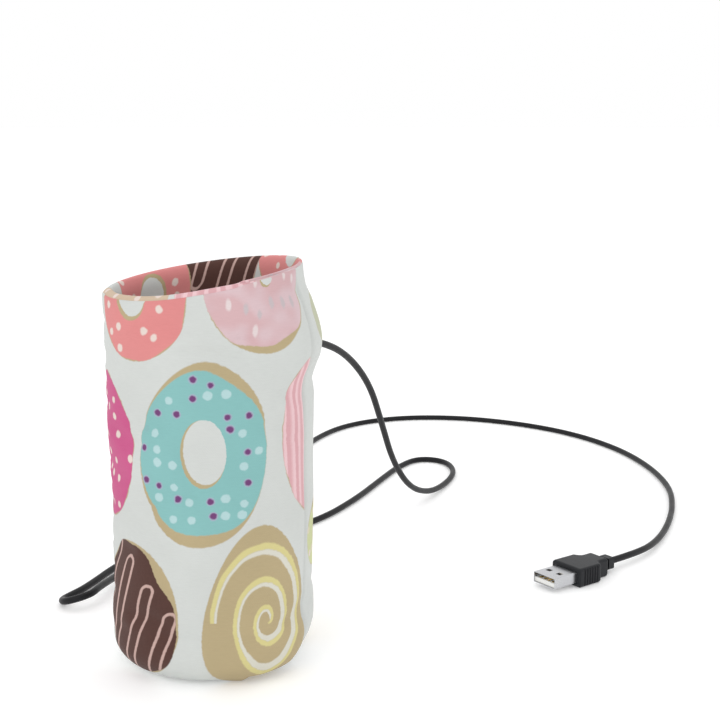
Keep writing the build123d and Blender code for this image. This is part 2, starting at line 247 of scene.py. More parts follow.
class Cloth:
    """The colour of printed cloth as it is built up, one motif over another."""

    def __init__(self, tree):
        self.tree = tree
        u, v = print_place(tree)
        ragged = cloud(tree, point(tree, u, v), 0.8, 2.0, "2D") - 0.5
        self.u = u + ragged * 0.5
        self.v = v + ragged * 0.5
        self.colour = CANVAS

    def patches(self, scale):
        return cloud(self.tree, point(self.tree, self.u, self.v), scale, 1.0, "2D")

    def paint(self, share, ink):
        self.colour = mix(self.tree, share, self.colour, ink)

    def around(self, centre, size, at=None, lean=0.0):
        """Where a point is in an oval: its distance, 1 on the outline, and its angle."""
        u, v = at or (self.u, self.v)
        x, y = (u - centre[0] - (v - centre[1]) * lean) / size[0], (v - centre[1]) / size[1]
        return (x * x + y * y).calc("SQRT"), y.calc("ARCTAN2", x)

    def spots(self, inside, spacing, dots, stretch=1.0, seed=0.0, random=0.6):
        """Dots or short strokes, scattered where inside(at) is 1 at their middles.

        dots lists a radius and two inks, one for each kind of dot. Later ones lie on earlier ones.
        """
        place = point(self.tree, self.u + seed, self.v / stretch + seed)
        cells = add_node(
            self.tree, "TexVoronoi", {"voronoi_dimensions": "2D"},
            Vector=place, Scale=1 / spacing, Randomness=random,
        ).outputs
        away = Sum(self.tree, cells["Distance"]) * spacing
        x, y = split(self.tree, cells["Position"])
        at = (x - seed, (y - seed) * stretch)
        kind, larger = split(self.tree, cells["Color"])
        kind, larger = kind.above(0.54, 0.02), larger * 0.3
        within = inside(at)
        for radius, inks in dots:
            ink = mix(self.tree, kind, inks[0], inks[1])
            self.paint((away - larger).below(radius - 0.15, 0.5) * within, ink)


def doughnut(
    cloth, centre, size, icing, hole=None, bare=(), dots=None, stripes=None, phase=0.0, shade=None,
    crust=0.01, lean=0.0,
):
    """An iced ring.

    hole gives its middle from the ring's, its two radii and the share of dough that shows round it.
    bare lists where dough shows past the icing: (angle, width) pairs. crust is the share of dough
    that shows all round it.
    """
    step = SOFT / min(size)

    def icing_edge(at=None):
        """How far inside the icing's outer edge a point is, and the distance from the ring's middle."""
        away, angle = cloth.around(centre, size, at, lean)
        edge = away + (angle * 3 + phase).wave() * 0.012 + (angle * 5 + phase * 2).wave() * 0.008
        limit = ((angle * 9 + phase).wave() * 0.012 + (1 - crust)).calc("MINIMUM", 1.0)
        for direction, width in bare:
            limit = limit - (angle - radians(direction)).lobe(6.0) * width
        return limit - edge, edge

    def from_hole(shift, at=None):
        middle = (centre[0] + hole[0] + shift[0], centre[1] + hole[1] + shift[1])
        away, angle = cloth.around(middle, (hole[2], hole[3]), at)
        return away + (angle * 2 + phase).wave() * 0.04

    inside, edge = icing_edge()
    cloth.paint(edge.below(1.0, step), DOUGH)
    iced = inside.above(0.0, step)
    if hole:
        iced = iced * from_hole((-0.6, -0.7)).above(1 + hole[4], step * 2)
    cloth.paint(iced, icing)
    if shade is not None:
        cloth.paint(iced * cloth.patches(0.09).above(0.52, 0.2), shade)
    if stripes is not None:
        ink, pitch = stripes
        lean = (cloth.v * 0.05 + phase).wave() * 0.8
        band = ((cloth.u + lean) * (2 * pi / pitch)).wave()
        thin = ((cloth.u + lean) * (2 * pi / pitch * 1.7) + 1.0).wave()
        cloth.paint(iced * (band + thin * 0.5).above(0.2, 0.6), ink)
    if dots is not None:

        def on_icing(at):
            deep = icing_edge(at)[0].above(0.055, 0.01)
            return deep * from_hole((-0.45, -0.5), at).above(1.42, 0.02) if hole else deep

        cloth.spots(on_icing, **dots)
    if hole:
        cloth.paint(from_hole((0.0, 0.0)).below(1.0, step * 2), CANVAS)


def drizzled(cloth, centre, size):
    """A chocolate ring without its hole in view, with long hairpins of icing down it."""
    away, angle = cloth.around(centre, size)
    step = SOFT / min(size)
    edge = away + (angle * 4 + 1.0).wave() * 0.012
    cloth.paint(edge.below(1.0, step), DOUGH)
    limit = (angle * 7).wave() * 0.022 - (angle - radians(38)).lobe(7.0) * 0.17 + 0.99
    iced = (limit - edge).above(0.0, step)
    cloth.paint(iced, CHOCOLATE)
    pitch, half = 12.0, 2.4
    lean = (cloth.u - centre[0]) - (cloth.v - centre[1]) * 0.4 + 1.6
    turns = lean / pitch
    number = turns.calc("FLOOR")
    across = (turns - number - 0.5) * pitch
    top = number * -8.5 + (centre[1] + 8.0)
    over = (cloth.v - top).calc("MAXIMUM", 0.0)
    ribbon = ((across * across + over * over).calc("SQRT") - half).size()
    cloth.paint(iced * ribbon.below(0.55, 0.35), DRIZZLE)


def rolled(cloth, centre, size, eye):
    """A rolled bun, narrower at the top, with a spiral of icing round its eye."""
    taper = (cloth.v - centre[1]) * 0.009 + 1.0
    at = ((cloth.u - centre[0]) * taper + centre[0], cloth.v)
    away, angle = cloth.around(centre, size, at)
    step = SOFT / min(size)
    cloth.paint((away + (angle * 3).wave() * 0.01).below(1.0, step), DOUGH)
    inside = away.below(0.975, step)
    eye = (centre[0] + eye[0], centre[1] + eye[1])
    eye_away, eye_angle = cloth.around(eye, (size[0] / size[1], 1.0))
    turns = eye_away.calc("POWER", 0.8) / 5.0 - eye_angle / (2 * pi)
    turns = turns + cloth.patches(0.12) * 0.1
    part = turns - turns.calc("FLOOR")
    swirl = inside * eye_away.above(1.2, 0.6) * turns.below(3.0, 0.05)
    cloth.paint(swirl * part.above(0.36, 0.05) * part.below(0.55, 0.05), YELLOW)
    facing_side = (eye_angle + 0.5).calc("COSINE") * 0.1 + 0.2
    cloth.paint(swirl * part.below(0.36, 0.05) * (part + facing_side).above(0.36, 0.05), MILK)


SUGAR = {"spacing": 7.4, "dots": [(1.25, (CREAM, CREAM))]}
BEADS = {
    "spacing": 5.7,
    "dots": [(1.4, (PALE_BLUE, HALO)), (1.05, (PALE_BLUE, PURPLE))],
    "seed": 3.7,
    "random": 0.5,
}
STROKES = {"spacing": 4.6, "dots": [(0.8, (linear(214, 200, 200), linear(190, 178, 181)))], "stretch": 2.1}


coral_ring = partial(
    doughnut, size=(19.4, 22.0), icing=CORAL, hole=(-1.4, 0.0, 6.3, 7.2, 0.1), dots=SUGAR, phase=0.6
)
blush_ring = partial(
    doughnut, size=(19.0, 24.0), icing=BLUSH, hole=(2.8, -0.2, 2.3, 2.1, 0.02), bare=[(-80, 0.1)],
    dots=STROKES, phase=2.0, shade=linear(202, 168, 171),
)
magenta_ring = partial(doughnut, size=(17.0, 25.0), icing=MAGENTA, dots=SUGAR, phase=4.0)
turquoise_ring = partial(
    doughnut, size=(21.3, 30.8), icing=TURQUOISE, hole=(1.3, 1.7, 7.1, 10.4, 0.05),
    bare=[(112, 0.05), (62, 0.12), (-128, 0.08), (-85, 0.08), (-75, 0.05)],
    dots=BEADS, phase=1.2, crust=-0.012, lean=0.06,
)
striped_ring = partial(
    doughnut, size=(15.0, 27.0), icing=ROSE, stripes=(linear(224, 189, 193), 3.6), phase=3.0
)
lime_ring = partial(
    doughnut, size=(14.0, 13.0), icing=LIME, hole=(0.0, 0.0, 4.0, 4.0, 0.15), bare=[(100, 0.14)],
    dots=SUGAR, phase=5.0,
)
sage_ring = partial(
    doughnut, size=(9.5, 9.0), icing=SAGE, hole=(0.0, 0.0, 2.6, 2.6, 0.15), bare=[(-60, 0.2)], phase=5.5
)
fawn_ring = partial(doughnut, size=(21.0, 24.0), icing=linear(197, 176, 153), dots=SUGAR, phase=2.6)
chocolate_ring = partial(drizzled, size=(19.6, 24.5))
cinnamon_roll = partial(rolled, size=(19.4, 30.5), eye=(1.3, -2.0))

# Each motif and the u and v of its middle
FRONT_PRINT = [
    (coral_ring, -21.8, 133), (blush_ring, 21.5, 138), (magenta_ring, -41.5, 80),
    (turquoise_ring, 0.8, 80.8), (striped_ring, 43, 84), (chocolate_ring, -27.5, 25),
    (cinnamon_roll, 20, 26),
]
BACK_PRINT = [
    (sage_ring, 57.5, 121), (lime_ring, 59, 45), (coral_ring, 88, 134),
    (turquoise_ring, 92, 74), (cinnamon_roll, 84, 12), (blush_ring, 134, 130),
    (magenta_ring, 128, 72), (chocolate_ring, 122, 22), (striped_ring, 160, 88),
    (lime_ring, 158, 40),
]
LINING_PRINT = [
    (coral_ring, -24, 92), (magenta_ring, 14, 52), (chocolate_ring, 40, 98),
    (turquoise_ring, 74, 42), (coral_ring, 92, 96), (blush_ring, 134, 92),
    (cinnamon_roll, 118, 30), (lime_ring, 162, 60),
]
FACING_PRINT = [
    (fawn_ring, -30, 108), (striped_ring, 8, 112), (blush_ring, 38, 104),
    (coral_ring, 74, 112), (chocolate_ring, 112, 110), (coral_ring, 142, 118),
]


def printed_cloth(name, motifs):
    """Canvas with motifs printed on it, its weave, and the sheen of cotton."""
    tree, shader = new_material(
        name, Roughness=0.86, Sheen_Weight=0.08, Sheen_Roughness=0.5, Specular_IOR_Level=0.15
    )
    cloth = Cloth(tree)
    for motif, *at in motifs:
        motif(cloth, at)
    u, v = print_place(tree)
    slub = cloud(tree, point(tree, u * 0.35, v * 2.2), 1.0, 3.0, "2D") - 0.5
    fade = cloud(tree, point(tree, u, v), 0.045, 2.0, "2D") - 0.5
    tone(tree, shader, cloth.colour, slub * 0.07 + fade * 0.1 + 1.0)
    warp, weft = (u * (2 * pi / 0.52)).wave(), (v * (2 * pi / 0.52)).wave()
    weave = warp * weft * 0.5 + slub
    bump(tree, shader, weave, 0.00006, 0.5)


# ---- Other materials ----


def mottled(name, colour, roughness, grain=900.0, depth=0.00003, **values):
    """A moulded or plated surface: fine grain, and a colour and a gloss that aren't quite even."""
    tree, shader = new_material(name, **values)
    place = object_place(tree)
    broad = cloud(tree, place, 60.0, 3.0) - 0.5
    fine = cloud(tree, place, grain, 2.0) - 0.5
    tone(tree, shader, linear(*colour), broad * 0.12 + 1.0)
    tree.links.new((broad * 0.12 + fine * 0.08 + roughness).socket, shader.inputs["Roughness"])
    bump(tree, shader, fine, depth, 0.6)


def fibrous(name, colour, scale=700.0):
    """Fluff: wadding or loop pile, matted in short fibres."""
    tree, shader = new_material(
        name, Roughness=0.95, Sheen_Weight=0.6, Sheen_Roughness=0.6, Specular_IOR_Level=0.15
    )
    place = object_place(tree)
    warp = cloud(tree, place, scale * 0.4, 2.0)
    fibre = cloud(tree, place, scale, 5.0)
    shade = fibre * 0.5 + warp * 0.4 + 0.55
    tone(tree, shader, linear(*colour), shade)
    bump(tree, shader, fibre, 0.0004, 0.9)


def rubbery(name, colour, ring):
    """A lead's jacket: drawn PVC with faint rings along it."""
    tree, shader = new_material(name, Specular_IOR_Level=0.22)
    place = object_place(tree)
    scuff = cloud(tree, place, 180.0, 4.0)
    grain = cloud(tree, place, ring, 2.0)
    tone(tree, shader, linear(*colour), scuff * 0.5 + 0.75)
    tree.links.new((scuff * 0.25 + 0.3).socket, shader.inputs["Roughness"])
    bump(tree, shader, grain, 0.00004, 0.5)


printed_cloth("cover_print", FRONT_PRINT)
printed_cloth("cover_print_back", BACK_PRINT)
printed_cloth("hem_print", FACING_PRINT)
printed_cloth("lining_print", LINING_PRINT)
printed_cloth("base_cloth", [(cinnamon_roll, 0.0, 0.0)])
fibrous("wadding", (222, 222, 217))
fibrous("loop_tape", (214, 214, 209), 1600.0)
mottled("hook_tape", (212, 212, 207), 0.45, Specular_IOR_Level=0.4)
mottled("thread", (214, 208, 202), 0.7, 2600.0, 0.0001, Sheen_Weight=0.3)
mottled("heater_film", (206, 132, 40), 0.22, Coat_Weight=0.4)
mottled("heater_trace", (196, 128, 92), 0.35, Metallic=1.0)
mottled("reflective_foil", (222, 224, 226), 0.25, 300.0, 0.0003, Metallic=1.0)
rubbery("lead_jacket", (20, 20, 23), 1400.0)
mottled("eyelet", (30, 30, 33), 0.5)
mottled("cable_tie", (232, 231, 224), 0.45)
mottled("thermostat", (36, 36, 40), 0.35)
mottled("red_wire", (186, 30, 26), 0.35)
mottled("black_wire", (28, 28, 30), 0.35)
mottled("joint_sleeve", (226, 222, 208), 0.6)
mottled("plug_plastic", (16, 18, 23), 0.42, 1500.0, 0.00006, Specular_IOR_Level=0.3)
mottled("usb_shell", (196, 197, 200), 0.28, 2400.0, 0.00001, Metallic=1.0)
mottled("usb_tongue", (232, 232, 230), 0.4)
mottled("usb_contacts", (222, 184, 96), 0.25, Metallic=1.0)

# ---- Mesh makers ----

ROUND = 2 * pi * 35.5 * MM  # once round the sleeve, as the print's u counts it


def finish(obj, material, body="sleeve"):
    obj.data.materials.append(MATERIALS[material])
    if body is not None:
        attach(obj, body)
    return obj


def mesh_object(name, points, faces, uv=None):
    """A smooth mesh from points in millimetres. uv is one pair in metres for each point."""
    mesh = bpy.data.meshes.new(name)
    mesh.from_pydata((np.asarray(points, float).reshape(-1, 3) * MM).tolist(), [], faces)
    mesh.polygons.foreach_set("use_smooth", [True] * len(mesh.polygons))
    if uv is not None:
        layer = mesh.uv_layers.new(name="print")
        loops = np.array([loop.vertex_index for loop in mesh.loops])
        coords = np.asarray(uv, float).reshape(-1, 2)[loops]
        for face in mesh.polygons:
            part = coords[face.loop_start : face.loop_start + face.loop_total]
            if np.ptp(part[:, 0]) > ROUND / 2:
                part[part[:, 0] < part[:, 0].max() - ROUND / 2, 0] += ROUND
        layer.data.foreach_set("uv", coords.ravel())
    mesh.update()
    return new_object(name, mesh)


def slab(name, outer, inner, uv=None, closed=False):
    """A closed shell between two grids of points, numbered round the sleeve and then up it."""
    columns, rows = outer.shape[:2]
    total = columns * rows
    faces = []

    def front(i, j):
        return (i % columns) * rows + j

    def back(i, j):
        return total + front(i, j)

    for i in range(columns if closed else columns - 1):
        for j in range(rows - 1):
            faces.append((front(i, j), front(i + 1, j), front(i + 1, j + 1), front(i, j + 1)))
            faces.append((back(i, j), back(i, j + 1), back(i + 1, j + 1), back(i + 1, j)))
        top = rows - 1
        faces.append((back(i, 0), back(i + 1, 0), front(i + 1, 0), front(i, 0)))
        faces.append((front(i, top), front(i + 1, top), back(i + 1, top), back(i, top)))
    if not closed:
        end = columns - 1
        for j in range(rows - 1):
            faces.append((front(0, j), front(0, j + 1), back(0, j + 1), back(0, j)))
            faces.append((back(end, j), back(end, j + 1), front(end, j + 1), front(end, j)))
    points = np.concatenate([outer.reshape(-1, 3), inner.reshape(-1, 3)])
    both = None if uv is None else np.concatenate([uv.reshape(-1, 2)] * 2)
    return mesh_object(name, points, faces, both)


def tube_mesh(line, widths, sides=8):
    """The points and faces of a closed round tube along a line, with a radius at each point."""
    line = np.asarray(line, float)
    ahead = np.gradient(line, axis=0)
    ahead /= np.linalg.norm(ahead, axis=1)[:, None]
    points, faces = [], []
    side = np.cross(ahead[0], (0, 0, 1))
    if np.linalg.norm(side) < 0.1:
        side = np.cross(ahead[0], (1, 0, 0))
    for place, way, radius in zip(line, ahead, widths):
        side = side - way * (side @ way)
        side /= np.linalg.norm(side)
        other = np.cross(way, side)
        for k in range(sides):
            turn = 2 * pi * k / sides
            points.append(place + radius * (cos(turn) * side + sin(turn) * other))
    for i in range(len(line) - 1):
        for k in range(sides):
            a, b = i * sides + k, i * sides + (k + 1) % sides
            faces.append((a, b, b + sides, a + sides))
    faces.append(tuple(range(sides - 1, -1, -1)))
    faces.append(tuple((len(line) - 1) * sides + k for k in range(sides)))
    return points, faces


def joined(name, parts):
    """One object of several (points, faces) meshes."""
    points, faces = [], []
    for part_points, part_faces in parts:
        start = len(points)
        points.extend(part_points)
        faces.extend(tuple(start + k for k in face) for face in part_faces)
    return mesh_object(name, points, faces)


# ---- The lead ----

FLOOR = 1.5
# Millimetres. Where no height is given, the lead lies on the floor.
LEAD_ROUTE = [
    (18.6, 32.2163, 104), (26, 45, 104), (36, 63, 101), (46.5, 84, 92), (56, 106, 75), (61.5, 126, 53),
    (67, 145, 30), (75.5, 163, 12), (86, 184, 3.2), (96, 206), (102, 229), (98, 249), (83, 254),
    (72, 237), (62, 211), (50, 179), (34, 147), (10, 122), (-14, 103), (-33, 87.3), (-45.2, 73.2, 2.7),
    (-48.7, 54.6, 5.1), (-50.4, 45.8, 6), (-51.6, 39.9, 6), (-56.8, 36.9, 4.9), (-62.5, 38.9, 2.9),
    (-64.7, 44.4), (-62, 49.8), (-57.7, 58.2), (-49.6, 85), (-34, 120), (-15, 158), (1, 201), (13, 247),
    (24, 293), (43, 330), (75, 349), (112, 349), (147, 334), (176, 309), (196, 275), (206, 237),
    (208, 199), (202, 166), (193, 137), (182, 111, 2.4), (169.6, 92.2, 4), (156, 82, 4),
]
LEAD_ROUTE = [Vector(place if len(place) == 3 else (*place, FLOOR)) * MM for place in LEAD_ROUTE]

LEAD_DIAMETER = 2.8


def make_lead():
    data = bpy.data.curves.new("power_lead", "CURVE")
    data.dimensions = "3D"
    spline = data.splines.new("NURBS")
    spline.points.add(len(LEAD_ROUTE) - 1)
    for entry, place in zip(spline.points, LEAD_ROUTE):
        entry.co = (*place, 1)
    spline.order_u = 3
    spline.use_endpoint_u = True
    spline.resolution_u = 10
    data.bevel_depth = LEAD_DIAMETER / 2 * MM
    data.bevel_resolution = 5
    data.use_fill_caps = True
    lead = new_object("lead_cable", data)
    finish(lead, "lead_jacket")
    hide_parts("power_lead")
    return lead


# ---- The sleeve's form ----

WALL = 35.2  # outside of the cover
UNDER = 33.35  # outside of the cover under the flap
OVER = 37.0  # outside of the flap
FLAP_INSIDE = 35.35
LINED = 30.55  # inside of the lining
LEAST = 32.3  # outside of the cover where the wall is thinnest
CLOTH = 0.6  # thickness of the cover
LINING_CLOTH = 0.5
PAD_INSIDE = 31.68  # the wadding's inside, outside the heater's foil
FOOT = 24.0
HINGE = 24.0  # the azimuths of the flap's root and free edge, and of the cover's side seam
FLAP_EDGE = 66.0
STEP_UP = 69.0
SEAM = -90.0
WINDOW = (138.0, 186.0, 58.0, 112.0)  # azimuths and heights of the opening in the wadding
FACING_DEPTH = 12.0
FLAP_LOW = 2.9


def smooth(low, high, x):
    share = np.clip((x - low) / (high - low), 0, 1)
    return share * share * (3 - 2 * share)


def hump(x, centre, width):
    return np.exp(-(((x - centre) / width) ** 2))


def turn_from(az, centre):
    return (az - centre + 180) % 360 - 180


def near(az, centre, width):
    return hump(turn_from(az, centre), 0, width)


def rim_height(az):
    """The rim is highest at the right, and droops a little at the front."""
    turn = np.radians(az)
    droop = 0.9 * near(az, -20, 30)
    return 135.7 + 4.3 * np.sin(turn) - 0.7 * np.cos(turn) - droop + 0.6 * near(az, -72, 9)


def foot_radius(az):
    """The foot's corner is rounder at the right."""
    return FOOT - 3.5 * near(az, 85, 45) + 1.2 * near(az, -80, 40)


def ripple(az, height):
    """Small, slow unevenness of a soft wall, in millimetres."""
    turn = np.radians(az)
    places = np.stack(np.broadcast_arrays(1.9 * np.sin(turn), 1.9 * np.cos(turn), height / 22.0), -1)
    flat = [noise.noise(Vector(p)) for p in places.reshape(-1, 3)]
    return np.array(flat).reshape(places.shape[:-1])


def form(az, height):
    """How far the padded wall stands out of a plain cup, in millimetres, before its cloth settles."""
    right = near(az, 80, 38)
    left = near(az, -85, 50)
    wiring = near(az, 162, 32) * hump(height, 86, 38)
    bulge = 3.3 * hump(height, 113, 10.5) + 0.5 * hump(height, 95, 14)
    pull = 2.9 * smooth(120, 139, height) + 0.8 * hump(height, 28, 30)
    slack = 1.1 * hump(height, 50, 32) + 0.7 * smooth(112, 134, height)
    uneven = 0.32 * ripple(az, height) * smooth(4, 20, height) * (1 - 0.8 * wiring)
    return right * (bulge - pull) - left * slack + 0.35 * wiring + uneven


# Cloth simulation of the cover's skin, kept as a grid of millimetres out from the plain form.
COLUMNS, ROWS = 144, 62
LOWEST, HIGHEST = 4.0, 132.0
SCALE = 10.0  # the solver works best on things of about a metre
MOST = 0.85  # millimetres
settled = np.zeros((COLUMNS, ROWS))


def settle():
    """Runs cloth on the skin, held at the foot, the rim and the side seam, while the wadding presses it."""
    azs = SEAM + np.arange(COLUMNS) * 360 / COLUMNS
    heights = np.linspace(LOWEST, HIGHEST, ROWS)
    grid = placed(azs[:, None], WALL + form(azs[:, None], heights[None]), heights[None])
    points = grid.reshape(-1, 3) * MM * SCALE
    faces = []
    for i in range(COLUMNS):
        here, ahead = i * ROWS, (i + 1) % COLUMNS * ROWS
        faces.extend((here + j, ahead + j, ahead + j + 1, here + j + 1) for j in range(ROWS - 1))
    mesh = bpy.data.meshes.new("skin")
    mesh.from_pydata(points.tolist(), [], faces)
    skin_object = new_object("skin", mesh)
    held = skin_object.vertex_groups.new(name="held")
    edge = [i * ROWS + j for i in range(COLUMNS) for j in (0, ROWS - 1)]
    seams = [i * ROWS + j for i in (0, 1) for j in range(ROWS)]
    held.add(edge + seams, 1.0, "REPLACE")
    cloth = skin_object.modifiers.new("cloth", "CLOTH")
    pulls = {
        "vertex_group_mass": "held", "quality": 5, "mass": 0.2, "bending_stiffness": 1.5,
        "shrink_min": -0.025, "use_pressure": True, "uniform_pressure_force": 1.5,
    }
    for key, value in pulls.items():
        setattr(cloth.settings, key, value)
    cloth.settings.effector_weights.gravity = 0
    cloth.collision_settings.use_collision = False
    for step in range(1, 21):
        scene.frame_set(step)
    ready = skin_object.evaluated_get(bpy.context.evaluated_depsgraph_get())
    places = np.empty(len(points) * 3)
    ready.data.vertices.foreach_get("co", places)
    places = places.reshape(COLUMNS, ROWS, 3) / SCALE / MM
    moved = np.hypot(places[..., 0], places[..., 1]) - np.hypot(grid[..., 0], grid[..., 1])
    bpy.data.objects.remove(skin_object)
    scene.frame_set(1)
    return np.tanh(moved / MOST) * MOST


def settled_at(az, height):
    """The settled cloth's place at any azimuth and height, between the grid's points."""
    column = (np.asarray(az, float) - SEAM) % 360 / 360 * COLUMNS
    row = np.clip((height - LOWEST) / (HIGHEST - LOWEST), 0, 1) * (ROWS - 1)
    column, row = np.broadcast_arrays(column, row)
    i, j = column.astype(int), np.minimum(row.astype(int), ROWS - 2)
    x, y = column - i, row - j
    i, after = i % COLUMNS, (i + 1) % COLUMNS
    low = settled[i, j] * (1 - x) + settled[after, j] * x
    high = settled[i, j + 1] * (1 - x) + settled[after, j + 1] * x
    return low * (1 - y) + high * y


def swell(az, height):
    wiring = near(az, 162, 32)
    loose = settled_at(az, height) * (1 - 0.85 * wiring)
    return (form(az, height) + loose) * smooth(2, 22, height)


def seam_dip(az):
    """The side seam draws the cover in."""
    return 0.55 * near(az, SEAM, 1.6)


def edge_droop(az):
    """The flap's free edge lies in against the layer under it."""
    return 0.9 * smooth(57, FLAP_EDGE, az)


def held_swell(az, height, radius):
    """The swell of a wall of this radius, which never draws in as far as the pocket."""
    return np.maximum(swell(az, height), LEAST - radius)


def front_swell(az, height):
    """The front's swell. Above the tape the flap's rim lies in against the sleeve's."""
    lean = smooth(127, 137, height) * smooth(26, 36, az)
    return np.maximum(swell(az, height) - lean, LEAST + 0.2 - FLAP_INSIDE + edge_droop(az))


def front_radius(az):
    return WALL + (OVER - WALL) * smooth(4, 36, az) - edge_droop(az) - seam_dip(az)


def back_radius(az):
    """The cover behind: tucked in under the flap, with a welt where the flap's root is sewn to it."""
    stepped = UNDER + (WALL - UNDER) * smooth(FLAP_EDGE - 1, STEP_UP + 4, az)
    return stepped + 1.5 * smooth(28, 23.5, az) - seam_dip(az)


def sleeve_radius(az):
    """The outside of what stays with the sleeve's body when the flap opens."""
    turn = turn_from(az, 0)
    share = smooth(20, 26, turn)
    return front_radius(turn) * (1 - share) + back_radius(turn % 360) * share


def placed(az, radius, height):
    turn = np.radians(az)
    return np.stack([radius * np.sin(turn), -radius * np.cos(turn), height + 0 * turn], -1)


def wall_column(radius, foot, corner, low, top, rows, corner_rows=14):
    """Radii, heights and print heights up a wall that rises from a rounded corner.

    foot and corner are the corner's centre, and low is the height where the column starts.
    """
    first = np.arccos(np.clip((corner - low) / (radius - foot), -1, 1))
    turns = np.linspace(first, pi / 2, corner_rows)
    wall = np.linspace(corner, top, rows - corner_rows + 1)[1:]
    radii = np.concatenate([foot + (radius - foot) * np.sin(turns), np.full(len(wall), radius)])
    heights = np.concatenate([corner - (radius - foot) * np.cos(turns), wall])
    along = np.concatenate([corner - (pi / 2 - turns) * (WALL - foot), wall])
    return radii, heights, along


def oval(centre, top, reach, drop, start, end, count):
    """Part of a rim's rounding. Angles are in degrees, 0 at the outside and 90 at the crest."""
    turns = np.radians(np.linspace(start, end, count))
    return np.array([centre + reach * np.cos(turns), top - drop + drop * np.sin(turns)])


def strung(*parts):
    """A column's radii and heights, from those of its parts in turn."""
    return np.concatenate([np.array(part) for part in parts], 1)


def grid_of(azs, make_column):
    """Points and print places from a function of the azimuth that gives radii, heights and v."""
    points, prints = [], []
    for az in azs:
        radii, heights, along = make_column(az)
        points.append(placed(az, radii, heights))
        prints.append(np.stack([np.full(len(along), radians(az) * 35.5), along], -1) * MM)
    return np.array(points), np.array(prints)


def spaced(start, end, step=1.5):
    return np.linspace(start, end, max(3, round((end - start) / step) + 1))


def runs(*parts):
    return np.concatenate([spaced(*part) for part in parts])


def shell(name, azs, outer, inner, printed_inside=False, closed=False):
    """A closed piece between two columns, each a function of the azimuth."""
    outside, outside_print = grid_of(azs, outer)
    inside, inside_print = grid_of(azs, inner)
    return slab(name, outside, inside, inside_print if printed_inside else outside_print, closed)


def edge_share(az):
    """1 away from the flap's free edge, falling to 0 at it along a quarter circle."""
    close = np.clip(1 - (FLAP_EDGE - az) / 1.35, 0, 1)
    return np.sqrt(1 - close * close)


# ---- Cover, lining and wadding ----

CREST = 2.0  # the crest of the rim, in from the outside
ROLL = 2.2  # height of the rim's outer rounding
FLAP_MIDDLE = (OVER + FLAP_INSIDE) / 2


def facing_start(az):
    """Where the facing takes over from the cover on the rim's rounding, in degrees."""
    return 24 + 30 * smooth(10, 45, turn_from(az, 0))


def flap_share(az):
    """0 where the front cover is the sleeve's wall, 1 where it is the flap."""
    return smooth(20, 26, az)


def front_crest(az):
    share = flap_share(az)
    crest = (front_radius(az) - CREST) * (1 - share) + (FLAP_MIDDLE - edge_droop(az)) * share
    return crest, ROLL * (1 - share) + 1.0 * share


def cover(name, azs, radius_at, low_at, crest_at, edge_at, moved_by):
    """A cover from the foot to the seam on the rim."""

    def column(depth, az):
        radius, edge, top = radius_at(az), edge_at(az), rim_height(az)
        foot, (crest, roll) = foot_radius(az), crest_at(az)
        outside = crest + (radius - crest) * edge - depth if edge < 1 else radius - depth
        radii, heights, along = wall_column(outside, foot, WALL - foot, low_at(az), top - roll, 96)
        reach = max(outside - crest, 0.05)
        rim = oval(crest, top - depth * 0.6, reach, roll - depth * 0.6, 4, facing_start(az), 5)
        radii, heights = strung((radii, heights), rim)
        along = np.concatenate([along, along[-1] + np.linspace(0.2, 1.4, 5)])
        return radii + moved_by(az, heights), heights, along

    return shell(name, azs, partial(column, 0.0), partial(column, CLOTH))


def bend_at_hinge(piece):
    """Writes the piece's placement into its mesh and clears the placement."""
    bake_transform(piece)


def make_front():
    """The front panel and the flap, one piece of printed cloth."""
    piece = cover(
        "front_cover",
        runs((SEAM + 0.1, 19), (20, 27, 0.7), (28, 64), (64.5, FLAP_EDGE, 0.25)),
        front_radius,
        lambda az: 0.03 + (FLAP_LOW - 0.03) * smooth(HINGE - 1, 26.5, az),
        front_crest,
        edge_share,
        front_swell,
    )
    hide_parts("front_panel", "flap_cover")
    finish(piece, "cover_print", body=None)
    bend_at_hinge(piece)
    return piece


def make_back():
    piece = cover(
        "back_cover",
        runs((HINGE - 0.6, 29, 0.6), (30, 67), (68, 75, 0.6), (76, 269.9)),
        back_radius,
        lambda az: 0.03 + (FLAP_LOW - 0.03) * smooth(STEP_UP + 4, STEP_UP, az),
        lambda az: (back_radius(az) - CREST * 0.8, ROLL),
        lambda az: 1.0,
        lambda az, height: held_swell(az, height, back_radius(az)),
    )
    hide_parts("back_panel")
    return finish(piece, "cover_print_back")


def make_foot_band():
    """The foot of the cover where it passes under the flap and turns in to the layer behind."""
    azs = spaced(HINGE - 1, STEP_UP + 3)

    def band(depth, az):
        foot = foot_radius(az)
        column = wall_column(WALL - depth, foot, WALL - foot, 0.03, WALL - foot, 15)
        return tuple(values[:8] for values in column)

    def ledge(depth, az):
        foot = foot_radius(az)
        radii, heights, along = band(0.02, az)
        rise = (WALL - foot - heights[-1]) / (UNDER - foot)
        behind = foot + (UNDER - foot) * np.sqrt(1 - rise * rise)
        places = np.linspace(radii[-1] - 0.2, behind - 0.2, 5)
        return places, np.full(5, heights[-1] - depth), along[-1] + radii[-1] - places

    piece = shell("foot_band", azs, partial(band, 0.02), partial(band, CLOTH))
    merge_into(piece, [shell("ledge", azs, partial(ledge, 0.02), partial(ledge, 0.35))])
    return finish(piece, "cover_print")


